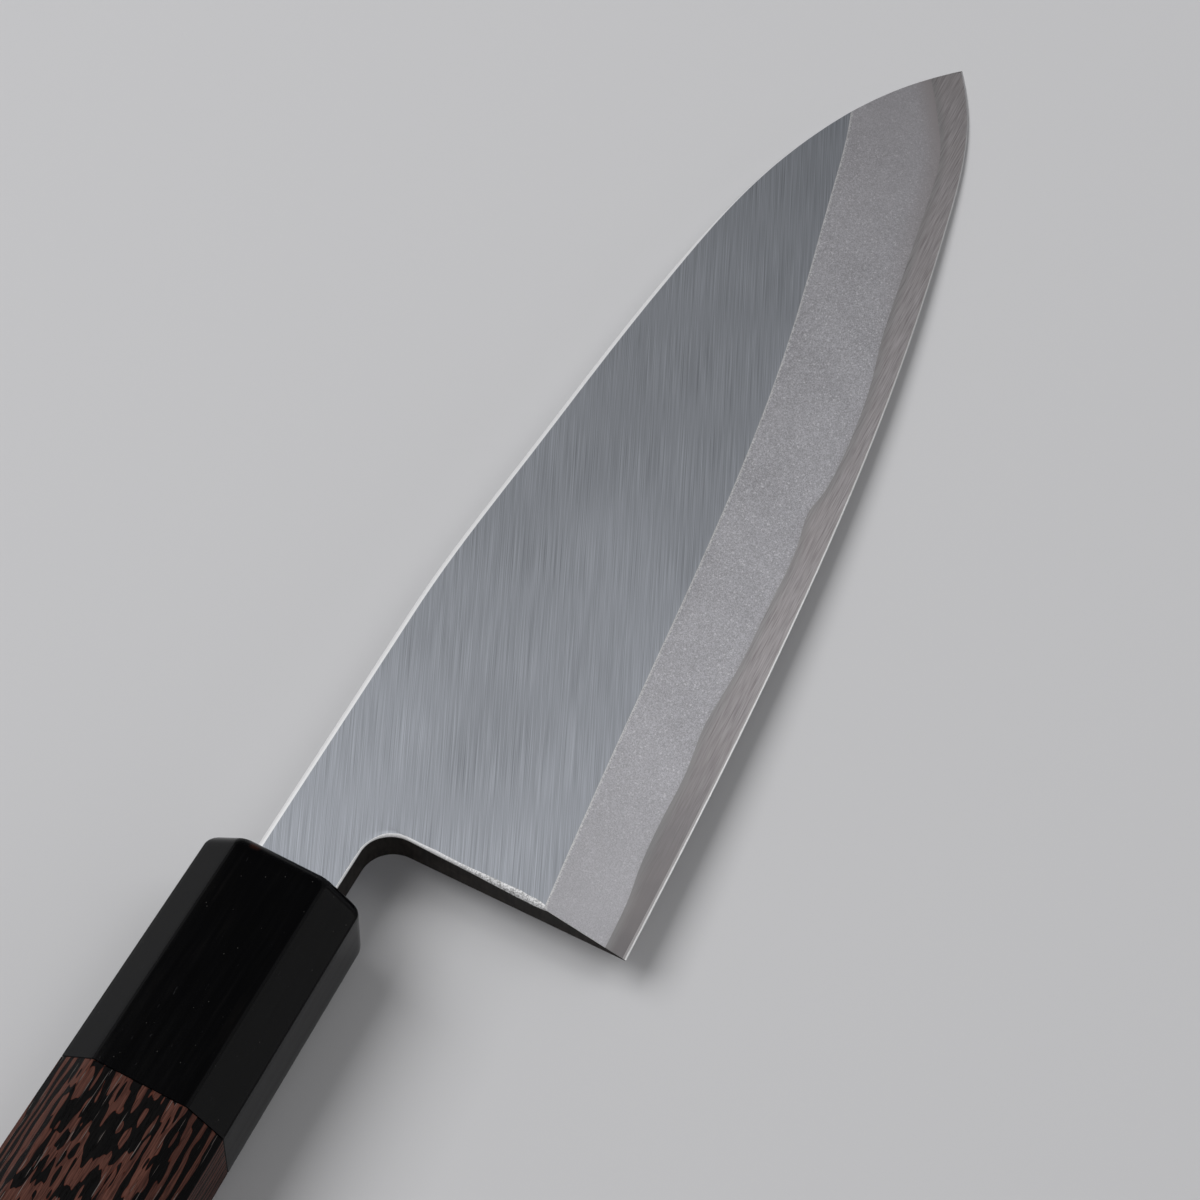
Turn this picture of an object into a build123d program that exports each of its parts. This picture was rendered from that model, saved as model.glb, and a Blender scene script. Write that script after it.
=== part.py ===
from build123d import *
import os
from math import cos, pi, sin

# A single-bevel deba knife with an octagonal handle. All lengths are in millimetres.
# The knife is drawn in its own axes: +X from butt to tip, +Y towards the spine,
# +Z out of the front face. The handle's axis is y = 0, z = 0 and the heel is at x = 0.
# At the end the whole knife is turned to the way it lies on a table on its back.

# Blade seen from the front
blade_length = 150.0
spine_rise = 6.0
heel_drop = 43.8
tip_drop = 19.2
neck_length = 13.2
neck_drop = 6.4
notch_radius = 4.8
heel_slant = 0.7

# Blade seen from the side
back_depth = 3.4
spine_thickness = 6.6
tip_thinning = 4.4
edge_thinning = 3.2
spine_chamfer = 0.55
bevel_land = 0.14
edge_land = 0.03
fine_bevel_heel = 0.5
fine_bevel_tip = 0.2

# Hard steel on the back, and the hollow ground into it
steel_thickness_heel = 1.2
steel_thickness_tip = 0.26
steel_end = 2.0
hollow_rim_edge = 1.9
hollow_rim_spine = 2.6
hollow_depth = 0.42

# Tang, from the neck's seat in the ferrule to its blunt end
neck_seat = 3.0
tang_length = 74.0
tang_shoulder = 0.4
tang_waist_depth = 10.0
tang_waist_width = 10.0
tang_waist_thickness = 5.0
tang_end_width = 5.2
tang_end_thickness = 2.6

# Handle
handle_length = 130.0
ferrule_length = 37.6
front_width = 23.1
front_thickness = 20.0
butt_width = 27.4
ferrule_round = 2.2
nose_steps = 4
ridge_round = 0.4
butt_chamfer = 1.2
dowel_diameter = 15.4
dowel_in_ferrule = 28.0
dowel_floor = 5.6
bedding_gap = 0.4
bedding_below_tang = 2.0
bedding_recess = 0.4

# How far a cut runs past what it cuts
overrun = 4.0
# How many times a stretch of curve is halved to find a point on it, and how many steps
# along the edge a ground bevel follows
halvings = 40
bevel_steps = 20

# Points of the outlines, as shares chosen by hand: of the blade's length, and of the rise
# from heel to tip for the edge or of the fall from spine to tip for the spine
spine_line_share = 0.2
spine_shares = ((0.39, 0.063), (0.585, 0.152), (0.785, 0.34), (0.88, 0.53), (0.962, 0.81), (1.0, 1.0))
spine_end_slope_share = 0.9
edge_shares = (
    (0.0, 0.0), (0.2, 0.07), (0.43, 0.19), (0.66, 0.378), (0.84, 0.598), (0.95, 0.809), (1.0, 1.0)
)
edge_start_slope_share = 0.05
edge_end_slope_share = 0.76
# Where the front bevel ends, opposite each point of the edge: shares of the blade's length
# and of its height from heel to spine
ridge_shares = (
    (0.0, 0.249), (0.193, 0.319), (0.419, 0.396), (0.64, 0.506), (0.811, 0.632), (0.905, 0.717), (0.937, 0.764)
)
# Sections of the hollow: shares of the blade's length, of the width between the rims
# and of the full depth
hollow_shares = (
    (0.035, 0.6, 0.3), (0.1, 0.9, 0.8), (0.3, 1.0, 1.0), (0.55, 1.0, 0.9), (0.78, 0.94, 0.6), (0.92, 0.6, 0.2)
)
# Flats of the octagon, as shares of its width and its thickness
broad_flat_share = 0.583
narrow_flat_share = 0.545
# A ruled cut runs on past its two rows of points by this share of its width, and past
# their first and last points by this share of the step between points
run_on_share = 0.16

blade_height = spine_rise + heel_drop
back_z = -back_depth
mouth_x = -neck_length
joint_x = mouth_x - ferrule_length
butt_x = mouth_x - handle_length
tang_root_x = mouth_x - neck_seat
waist_x = tang_root_x - tang_waist_depth
tang_end_x = mouth_x - tang_length
dowel_end_x = tang_end_x - bedding_below_tang - dowel_floor


def front_thickness_at(x, y):
    """Thickness under the flat front face, which thins evenly to the tip and to the edge."""
    to_tip = tip_thinning * x / blade_length
    to_edge = edge_thinning * (spine_rise - y) / blade_height
    return spine_thickness - to_tip - to_edge


def steel_thickness_at(x):
    """Thickness of the hard steel plate, which thins evenly from heel to tip."""
    return steel_thickness_heel - (steel_thickness_heel - steel_thickness_tip) * x / blade_length


def edge_points():
    rise = heel_drop - tip_drop
    return [Vector(blade_length * along, -heel_drop + rise * up) for along, up in edge_shares]


def edge_curve():
    start = Vector(1, edge_start_slope_share)
    end = Vector(1, edge_end_slope_share)
    return Spline(*edge_points(), tangents=(start, end))


def spine_curve():
    """The spine's stretch that falls to the tip, tangent to its straight stretch."""
    fall = spine_rise + tip_drop
    start = Vector(blade_length * spine_line_share, spine_rise)
    points = [Vector(blade_length * along, spine_rise - fall * down) for along, down in spine_shares]
    end_tangent = Vector(1, -spine_end_slope_share)
    return Spline(start, *points, tangents=(Vector(1, 0), end_tangent))


def blade_outline():
    """Face of the blade and its neck, with the rounded notch between neck and heel."""
    falling_spine = spine_curve()
    straight_spine = Line((tang_root_x, spine_rise), falling_spine @ 0)
    notch_corner = (-heel_slant, -neck_drop)
    underside = FilletPolyline((tang_root_x, -neck_drop), notch_corner, (0, -heel_drop), radius=notch_radius)
    seat = Line((tang_root_x, -neck_drop), (tang_root_x, spine_rise))
    return make_face([straight_spine, falling_spine, edge_curve(), underside, seat])


def point_at(curve, x):
    """Point of a curve that runs along +X, found by halving."""
    low, high = 0.0, 1.0
    for _ in range(halvings):
        middle = (low + high) / 2
        if (curve @ middle).X < x:
            low = middle
        else:
            high = middle
    return curve @ low


def run_on(points):
    """The points with one more at each end, in line with the last step."""
    first = points[0] + (points[0] - points[1]) * run_on_share
    last = points[-1] + (points[-1] - points[-2]) * run_on_share
    return [first, *points, last]


def ruled_cutter(near_points, far_points, width_share):
    """Everything above the ruled surface through two rows of points, which runs on past both."""
    inner_steps = [run_on_share + step for step in range(len(near_points))]
    steps = [0, *inner_steps, inner_steps[-1] + run_on_share]
    near_points, far_points = run_on(near_points), run_on(far_points)
    low = [near + (near - far) * width_share for near, far in zip(near_points, far_points)]
    high = [far + (far - near) * width_share for near, far in zip(near_points, far_points)]
    surface = Face.make_surface_from_curves(
        Edge.make_spline(low, parameters=steps), Edge.make_spline(high, parameters=steps)
    )
    return Solid.extrude(surface, Vector(0, 0, spine_thickness + overrun))


def ridge_curve():
    """The line where the flat front face turns into the bevel."""
    points = []
    for along, up in ridge_shares:
        x = blade_length * along
        y = -heel_drop + blade_height * up
        points.append(Vector(x, y, back_z + front_thickness_at(x, y)))
    return Spline(*points)


def bevel_rows():
    """Points along the edge and, opposite each of them, along the ridge."""
    edge, ridge = edge_curve(), ridge_curve()
    shares = [step / bevel_steps for step in range(bevel_steps + 1)]
    return [edge @ share for share in shares], [ridge @ share for share in shares]


def front_bevel_cutter():
    edge_row, ridge_row = bevel_rows()
    land = Vector(0, 0, back_z + bevel_land)
    return ruled_cutter([point + land for point in edge_row], ridge_row, run_on_share)


def fine_bevel_cutter():
    """The narrow bevel along the very edge, wider at the heel than at the tip."""
    outer, inner = [], []
    for low, high in zip(*bevel_rows()):
        across = Vector(high.X - low.X, high.Y - low.Y)
        slope = (high.Z - back_z - bevel_land) / across.length
        width = fine_bevel_heel + (fine_bevel_tip - fine_bevel_heel) * low.X / blade_length
        outer.append(low + Vector(0, 0, back_z + edge_land))
        inner.append(low + across.normalized() * width + Vector(0, 0, back_z + bevel_land + slope * width))
    return ruled_cutter(outer, inner, 1)


def back_hollow():
    """Shallow hollow of the back: a row of circle segments, one behind the other."""
    upper, lower = spine_curve(), edge_curve()
    sections = []
    for along, width_share, depth_share in hollow_shares:
        x = blade_length * along
        top = spine_rise
        if x > blade_length * spine_line_share:
            top = point_at(upper, x).Y
        top = top - hollow_rim_spine
        bottom = point_at(lower, x).Y + hollow_rim_edge
        middle = (top + bottom) / 2
        half = (top - bottom) / 2 * width_share
        depth = hollow_depth * depth_share
        left = Vector(x, middle - half, back_z)
        right = Vector(x, middle + half, back_z)
        crown = Vector(x, middle, back_z + depth)
        below = Vector(0, 0, -hollow_depth)
        roof = ThreePointArc(left, crown, right)
        sides = Polyline(right, right + below, left + below, left)
        sections.append(make_face([roof, sides]))
    return loft(sections)


def blade_blank():
    """The outline at full thickness, with the front face ground flat and its spine edge broken."""
    slab = extrude(Pos(0, 0, back_z) * blade_outline(), spine_thickness + overrun)
    slope_x = tip_thinning / blade_length
    slope_y = edge_thinning / blade_height
    front = Plane(origin=(0, spine_rise, back_z + spine_thickness), z_dir=(slope_x, -slope_y, 1))
    blank = split(slab, bisect_by=front, keep=Keep.BOTTOM)
    front_face = blank.faces().sort_by(lambda face: face.normal_at().Z)[-1]
    spine_edges = front_face.edges().filter_by(
        lambda edge: edge.center().Y > -neck_drop / 2 and edge.center().X > tang_root_x
    )
    return chamfer(spine_edges, spine_chamfer)


def section_plane(x):
    """Plane square to the handle's axis, whose own axes are the knife's Y and Z."""
    return Plane((x, 0, 0), x_dir=(0, 1, 0), z_dir=(1, 0, 0))


def across(x, width, thickness):
    """A rectangle square to the handle's axis."""
    return section_plane(x) * Rectangle(width, thickness)


def round_neck(x, side_y, growth):
    """A rectangle round the neck, grown all round, as thick as the neck's root is at side_y."""
    width = spine_rise + neck_drop
    thickness = front_thickness_at(tang_root_x, side_y)
    centre = Pos(0, (spine_rise - neck_drop) / 2, back_z + thickness / 2)
    return centre * across(x, width + 2 * growth, thickness + 2 * growth)


def tang_form(gap=0.0, below=0.0):
    """The tang's taper from its root to its blunt end, with a gap round it if it is a socket."""
    spread = 2 * gap
    sections = [
        round_neck(tang_root_x, -neck_drop, gap - tang_shoulder),
        across(waist_x, tang_waist_width + spread, tang_waist_thickness + spread),
        across(tang_end_x - below, tang_end_width + spread, tang_end_thickness + spread),
    ]
    return loft(sections, ruled=True)


def steel_region():
    """Everything under the joint between the two steels, from the tip back to the neck."""
    heel = (-steel_end, back_z + steel_thickness_at(-steel_end))
    beyond = blade_length + overrun
    tip = (beyond, back_z + steel_thickness_at(beyond))
    floor = back_z - overrun
    side = make_face(Plane.XZ * Polyline(heel, tip, (beyond, floor), (-steel_end, floor), heel))
    return extrude(side, blade_height, both=True)


def make_blade():
    """The ground blade with its tang, parted into soft cladding and hard edge steel."""
    blade = blade_blank() - front_bevel_cutter() - fine_bevel_cutter() - back_hollow()
    steel = blade & steel_region()
    cladding = blade - steel_region() + tang_form()
    return cladding, steel


def growth_at(x):
    """Share of the way from the ferrule's mouth to the butt."""
    return (mouth_x - x) / handle_length


def octagon(x, inset=0.0):
    """Section of the handle: an octagon with broad flats front and back and eased ridges."""
    width = front_width + (butt_width - front_width) * growth_at(x)
    thickness = front_thickness * width / front_width
    half_width, half_thickness = width / 2, thickness / 2
    broad, narrow = half_width * broad_flat_share, half_thickness * narrow_flat_share
    shrink_width, shrink_thickness = 1 - inset / half_width, 1 - inset / half_thickness
    broad, half_width = broad * shrink_width, half_width * shrink_width
    narrow, half_thickness = narrow * shrink_thickness, half_thickness * shrink_thickness
    quarter = [(broad, half_thickness), (half_width, narrow)]
    corners = [
        *quarter,
        *[(y, -z) for y, z in reversed(quarter)],
        *[(-y, -z) for y, z in quarter],
        *[(-y, z) for y, z in reversed(quarter)],
    ]
    flat = Polygon(*corners, align=None)
    return section_plane(x) * fillet(flat.vertices(), ridge_round)


def rounded_nose():
    """The ferrule's front end: octagons drawn in along a quarter circle."""
    sections = []
    for step in range(nose_steps + 1):
        turn = pi / 2 * step / nose_steps
        sections.append(
            octagon(mouth_x - ferrule_round * (1 - sin(turn)), ferrule_round * (1 - cos(turn)))
        )
    return loft(sections)


def bore(x_back, x_front):
    """Round bore on the handle's axis, the dowel's size."""
    return extrude(section_plane(x_back) * Circle(dowel_diameter / 2), x_front - x_back)


def tang_socket():
    """Room round the neck's seat and the tang, which the bedding fills."""
    seat = round_neck(tang_root_x - bedding_gap, spine_rise, bedding_gap)
    return extrude(seat, neck_seat + bedding_gap) + tang_form(bedding_gap, bedding_below_tang)


def make_ferrule():
    """Horn sleeve: slotted for the neck in front, bored for the dowel behind."""
    body = loft([octagon(joint_x), octagon(mouth_x - ferrule_round)], ruled=True) + rounded_nose()
    return body - bore(joint_x, joint_x + dowel_in_ferrule) - tang_socket()


def make_handle_body():
    """Wooden body: bored for the dowel, with its butt edges broken."""
    sections = [octagon(butt_x, butt_chamfer), octagon(butt_x + butt_chamfer), octagon(joint_x)]
    return loft(sections, ruled=True) - bore(dowel_end_x, joint_x)


def make_dowel():
    """Pin that joins ferrule and body, slotted for the tang."""
    return bore(dowel_end_x, joint_x + dowel_in_ferrule) - tang_socket()


def make_bedding(cladding):
    """Resin that fills the socket round neck and tang, just below the ferrule's mouth."""
    recess = Pos(mouth_x, 0, 0) * Box(2 * bedding_recess, front_width, front_thickness)
    return tang_socket() - cladding - recess


cladding, steel = make_blade()
pieces = {
    "blade_cladding": cladding,
    "edge_steel": steel,
    "ferrule": make_ferrule(),
    "handle_body": make_handle_body(),
    "handle_dowel": make_dowel(),
    "tang_bedding": make_bedding(cladding),
}


def table_plane():
    """Plane of the table: under the lower front edge of the ferrule and under the tip."""
    x = mouth_x - ferrule_round
    size = 1 + (butt_width / front_width - 1) * growth_at(x)
    under_ferrule = Vector(x, 0, -front_thickness / 2 * size)
    under_tip = Vector(blade_length, 0, back_z)
    forward = under_tip - under_ferrule
    return Plane(origin=under_ferrule, x_dir=forward, z_dir=forward.cross(Vector(0, 1, 0)))


table = table_plane()
laid = {name: table.to_local_coords(piece) for name, piece in pieces.items()}
box = Compound(list(laid.values())).bounding_box()
to_origin = Pos(-(box.min.X + box.max.X) / 2, -(box.min.Y + box.max.Y) / 2, -box.min.Z)

os.makedirs("parts", exist_ok=True)
for name, piece in laid.items():
    export_step(to_origin * piece, f"parts/{name}.step")
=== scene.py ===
from math import atan2, cos, pi, radians, sin

import bmesh
import bpy
import numpy as np
from mathutils import Matrix, Vector


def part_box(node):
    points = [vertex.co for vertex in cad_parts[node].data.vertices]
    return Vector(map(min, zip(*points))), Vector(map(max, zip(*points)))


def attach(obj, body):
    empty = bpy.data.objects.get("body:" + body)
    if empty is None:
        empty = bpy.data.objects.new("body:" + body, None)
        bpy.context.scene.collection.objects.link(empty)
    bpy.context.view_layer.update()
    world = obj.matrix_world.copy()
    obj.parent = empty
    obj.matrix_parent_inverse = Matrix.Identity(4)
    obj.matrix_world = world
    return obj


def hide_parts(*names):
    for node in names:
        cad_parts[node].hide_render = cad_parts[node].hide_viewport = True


# A single-bevel deba knife that lies on its back. Its surfaces are worked out in the knife's
# own axes, in millimetres: +X from butt to tip, +Y to the spine, +Z out of the front face,
# with the handle's axis on y = 0, z = 0 and the heel at x = 0. Then they are leaned and moved
# to where the knife lies on the table, in metres.
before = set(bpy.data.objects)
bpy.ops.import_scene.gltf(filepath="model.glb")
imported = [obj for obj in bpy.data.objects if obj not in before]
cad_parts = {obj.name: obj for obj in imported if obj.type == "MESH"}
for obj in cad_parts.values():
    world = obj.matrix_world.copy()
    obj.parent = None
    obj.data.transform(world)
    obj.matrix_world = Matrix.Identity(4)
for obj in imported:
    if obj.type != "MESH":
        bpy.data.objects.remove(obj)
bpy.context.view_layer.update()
millimetre = 0.001

# Blade outline
blade_length = 150.0
spine_rise = 6.0
heel_drop = 43.8
tip_drop = 19.2
neck_length = 13.2
neck_drop = 6.4
notch_radius = 4.8
heel_slant = 0.7
neck_seat = 3.0
blade_height = spine_rise + heel_drop
spine_line_share = 0.2
spine_shares = ((0.39, 0.063), (0.585, 0.152), (0.785, 0.34), (0.88, 0.53), (0.962, 0.81), (1.0, 1.0))
spine_end_slope_share = 0.9
edge_shares = ((0.0, 0.0), (0.2, 0.07), (0.43, 0.19), (0.66, 0.378), (0.84, 0.598), (0.95, 0.809), (1.0, 1.0))
edge_start_slope_share = 0.05
edge_end_slope_share = 0.76
ridge_shares = (
    (0.0, 0.249), (0.193, 0.319), (0.419, 0.396), (0.64, 0.506), (0.811, 0.632), (0.905, 0.717),
    (0.937, 0.764),
)

# Blade thickness
back_depth = 3.4
spine_thickness = 6.6
tip_thinning = 4.4
edge_thinning = 3.2
bevel_land = 0.14
edge_land = 0.03
fine_bevel_heel = 0.5
fine_bevel_tip = 0.2
steel_thickness_heel = 1.2
steel_thickness_tip = 0.26
steel_end = 2.0
hollow_rim_edge = 1.9
hollow_rim_spine = 2.6
hollow_depth = 0.42
# Sections of the hollow: shares of the blade's length, of the width between the rims and of
# the full depth
hollow_shares = (
    (0.015, 0.3, 0.0), (0.035, 0.6, 0.3), (0.1, 0.9, 0.8), (0.3, 1.0, 1.0), (0.55, 1.0, 0.9),
    (0.78, 0.94, 0.6), (0.92, 0.6, 0.2), (0.96, 0.3, 0.0),
)

# Broken edges: the spine's fades out towards the tip. The rim that runs from the heel round the
# notch is broad above the bevel, coarse below one height and evenly pale, a painted highlight, above another
spine_broken = 0.8
spine_broken_tip = 0.07
spine_broken_fade = (92.0, 122.0)
spine_broken_most_share = 0.3
rim_levels = (-heel_drop, -32.0, -31.0, -29.0, -22.0, -11.1, -8.0, -neck_drop)
rim_widths = (0.05, 0.07, 0.8, 0.85, 0.52, 0.38, 0.32, 0.26)
rim_depth_share = 0.75
rim_raggedness_share = 0.3
# Grain and number of each of the random draws that make the rim uneven
rim_draws = ((0.5, 3), (2.1, 4))
coarse_below = -29.0
even_above = -14.0
# Where the hard steel's edge shows on the bevel: shares of the blade's length and of the
# bevel's width
lamination_shares = (
    (0.0, 0.25), (0.047, 0.256), (0.087, 0.30), (0.147, 0.31), (0.187, 0.30), (0.24, 0.337), (0.28, 0.31),
    (0.32, 0.28), (0.393, 0.266), (0.447, 0.255), (0.487, 0.29), (0.513, 0.24), (0.567, 0.19), (0.64, 0.195),
    (0.7, 0.24), (0.747, 0.24), (0.787, 0.23), (0.853, 0.21), (0.907, 0.2), (0.94, 0.24), (1.0, 0.3),
)
interface_fade = 3.0
# From the heel to the first place the bevel is painted a little darker, as painted shade, and from the
# second to the tip it is painted darker and warmer, painted shade with a warmer tone
heel_shade_to = 34.0
tip_shade_from = 96.0

# Tang
tang_length = 74.0
tang_shoulder = 0.4
tang_waist_depth = 10.0
tang_waist_width = 10.0
tang_waist_thickness = 5.0
tang_end_width = 5.2
tang_end_thickness = 2.6

# Handle
handle_length = 130.0
ferrule_length = 37.6
front_width = 23.1
front_thickness = 20.0
butt_width = 27.4
ferrule_round = 2.2
ridge_round = 0.4
butt_chamfer = 1.2
seam_round = 0.12
dowel_diameter = 15.4
dowel_in_ferrule = 28.0
dowel_floor = 5.6
bedding_gap = 0.4
bedding_below_tang = 2.0
broad_flat_share = 0.583
narrow_flat_share = 0.545

back_z = -back_depth
mouth_x = -neck_length
joint_x = mouth_x - ferrule_length
butt_x = mouth_x - handle_length
tang_root_x = mouth_x - neck_seat
tang_end_x = mouth_x - tang_length
dowel_end_x = tang_end_x - bedding_below_tang - dowel_floor

# Grain of the surfaces' grids
columns = 230
notch_columns = 28
neck_columns = 16
round_steps = 4
row_steps = {
    "fine": 1, "rim": 3, "line": 6, "ridge": 14, "notch": 16, "back_rim": 12, "broken": 3,
    "spine": round_steps,
}
# Points of a curve and of a random line, steps of a halving, and lengths that bound a search
line_points = 401
fine_points = 4 * line_points
random_steps = 400
halvings = 40
crossing_reach = 6.0
heel_shift_reach = 8.0
least_hollow_half = 0.1
least_bevel = 0.001
quarter_turn = pi / 2


# Where the knife lies

def handle_growth(x):
    """Size of the handle's section at x, as a share of its size at the mouth."""
    return 1 + (butt_width / front_width - 1) * (mouth_x - x) / handle_length


def lean_angle():
    """The knife leans on the lower front edge of the ferrule and on its tip."""
    x = mouth_x - ferrule_round
    ferrule_z = -front_thickness / 2 * handle_growth(x)
    return atan2(back_z - ferrule_z, blade_length - x)


lean = lean_angle()
steel_low, steel_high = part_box("edge_steel")


def leaned(points):
    """The knife's points turned by the lean: x and z mix, y stays."""
    points = np.asarray(points, float)
    x, y, z = points[..., 0], points[..., 1], points[..., 2]
    return np.stack([x * cos(lean) + z * sin(lean), y, z * cos(lean) - x * sin(lean)], -1)


steel_corner = leaned((blade_length, -heel_drop, back_z)) * millimetre
lying_place = np.array([steel_high[0], steel_low[1], steel_low[2]]) - steel_corner


def on_table(points):
    """Points of the knife, in millimetres, as places on the table, in metres."""
    return leaned(points) * millimetre + lying_place


# Curves of the blade

def smooth_line(points, start=None, end=None):
    """Cubic line through the points: chord lengths as its parameter, the second derivative
    continuous, and each end either along a given direction or free. Evenly spaced by length."""
    points = np.array(points, float)
    chords = np.linalg.norm(np.diff(points, axis=0), axis=1)
    last = len(points) - 1
    system = np.zeros((last + 1, last + 1))
    wanted = np.zeros_like(points)
    for i in range(1, last):
        before, after = chords[i - 1], chords[i]
        system[i, i - 1:i + 2] = 1 / before, 2 / before + 2 / after, 1 / after
        wanted[i] = 3 * ((points[i] - points[i - 1]) / before**2 + (points[i + 1] - points[i]) / after**2)
    for row, beside, chord, direction in ((0, 1, chords[0], start), (last, last - 1, chords[-1], end)):
        if direction is None:
            system[row, row], system[row, beside] = 2, 1
            wanted[row] = 3 * (points[max(row, beside)] - points[min(row, beside)]) / chord
        else:
            system[row, row] = 1
            wanted[row] = np.array(direction) / np.linalg.norm(direction)
    slopes = np.linalg.solve(system, wanted)
    at = np.concatenate([[0], np.cumsum(chords)])
    fine = np.linspace(0, at[-1], fine_points)
    i = np.clip(np.searchsorted(at, fine, side="right") - 1, 0, last - 1)
    chord = chords[i]
    u = ((fine - at[i]) / chord)[:, None]
    chord = chord[:, None]
    line = (
        points[i] * (1 + 2 * u) * (1 - u) ** 2
        + slopes[i] * chord * u * (1 - u) ** 2
        + points[i + 1] * u**2 * (3 - 2 * u)
        + slopes[i + 1] * chord * u**2 * (u - 1)
    )
    lengths = length_along(line)
    even = np.linspace(0, lengths[-1], line_points)
    return np.stack([np.interp(even, lengths, line[:, k]) for k in range(2)], -1)


def length_along(line):
    """Length from the first point of a line to each of its points."""
    return np.concatenate([[0], np.cumsum(np.linalg.norm(np.diff(line, axis=0), axis=1))])


def along(line, shares):
    """Points of a line at shares of its length."""
    places = np.linspace(0, 1, len(line))
    return np.stack([np.interp(shares, places, line[:, k]) for k in range(2)], -1)


def edge_outline():
    """The cutting edge, from the heel to the tip."""
    rise = heel_drop - tip_drop
    points = [(blade_length * x, -heel_drop + rise * up) for x, up in edge_shares]
    return smooth_line(points, (1, edge_start_slope_share), (1, edge_end_slope_share))


def ridge_outline():
    """The line where the bevel meets the flat."""
    return smooth_line([(blade_length * x, -heel_drop + blade_height * up) for x, up in ridge_shares])


def spine_outline():
    """The whole spine, from the seat in the ferrule to the tip."""
    fall = spine_rise + tip_drop
    points = [(blade_length * spine_line_share, spine_rise)]
    points += [(blade_length * x, spine_rise - fall * down) for x, down in spine_shares]
    falling = smooth_line(points, (1, 0), (1, -spine_end_slope_share))
    return np.concatenate([[(tang_root_x, spine_rise)], falling])


def lamination_outline():
    """Smoothed line through the lamination shares."""
    line = smooth_line([(x * blade_length, share * blade_length) for x, share in lamination_shares])
    return line / blade_length


edge_line = edge_outline()
ridge_line = ridge_outline()
spine_line = spine_outline()
lamination_line = lamination_outline()


def spine_y(x):
    """Height of the spine's line at x."""
    return np.interp(x, spine_line[:, 0], spine_line[:, 1])


def front_z(x, y):
    """Height of the flat front face, which thins evenly to the tip and to the edge."""
    thin = tip_thinning * x / blade_length + edge_thinning * (spine_rise - y) / blade_height
    return back_z + spine_thickness - thin


def steel_top_z(x):
    """Height of the joint between the hard steel on the back and the soft steel on it."""
    return back_z + steel_thickness_heel - (steel_thickness_heel - steel_thickness_tip) * x / blade_length


def heel_x(y):
    """The blade's rear edge, a straight line a little off square."""
    return -heel_slant * (y + heel_drop) / (heel_drop - neck_drop)


def eased(share):
    """Smooth step: 3s2 - 2s3 of a share held between 0 and 1."""
    share = np.clip(share, 0, 1)
    return share**2 * (3 - 2 * share)


def spine_broken_at(x):
    """Width of the spine's broken edge, which fades out towards the tip."""
    start, stop = spine_broken_fade
    return spine_broken + (spine_broken_tip - spine_broken) * eased((x - start) / (stop - start))


def ragged(length, grain, seed):
    """Uneven share between -1 and 1 along a length: random steps a grain apart, joined up."""
    steps = np.random.default_rng(seed).uniform(-1, 1, random_steps)
    return np.interp(length / grain, np.arange(random_steps), steps)


def rim_width(y, length):
    """Width of the broken edge round heel and notch at height y, uneven along its length."""
    uneven = rim_raggedness_share * sum(ragged(length, *draw) for draw in rim_draws) / len(rim_draws)
    return np.interp(y, rim_levels, rim_widths) * (1 + uneven)


# The blade's grid. Rulings start on the edge, pass the ridge and end on the spine, and every
# sheet of the blade shares their rows.

def row_places():
    """Number of the row at which each stretch of a ruling ends."""
    places, row = {"edge": 0}, 0
    for name, steps in row_steps.items():
        row += steps
        places[name] = row
    return places


row_at = row_places()


def first_crossing(low, step, level):
    """For rulings low + t * step, the t at which they meet the line y = level(x), by halving."""
    start, stop = np.zeros(len(low)), np.full(len(low), crossing_reach)
    for _ in range(halvings):
        t = (start + stop) / 2
        point = low + step * t[:, None]
        under = point[:, 1] < level(point[:, 0])
        start, stop = np.where(under, t, start), np.where(under, stop, t)
    return (start + stop) / 2


def spread(start, stop, steps):
    """Evenly spaced places from start up to stop, which is left out, for whole arrays at once."""
    shares = np.arange(steps) / steps
    return start[:, None] + (stop - start)[:, None] * shares


def fillet_points():
    """Centre of the notch's rounding, and where it meets the heel's line."""
    slope = heel_slant / (heel_drop - neck_drop)
    off_square = atan2(slope, 1)
    centre_y = -neck_drop - notch_radius
    centre_x = heel_x(centre_y) - notch_radius / cos(off_square)
    meets = (centre_x + notch_radius * cos(off_square), centre_y + notch_radius * sin(off_square))
    return (centre_x, centre_y), meets, off_square


fillet_centre, heel_meets_fillet, heel_off_square = fillet_points()


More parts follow.
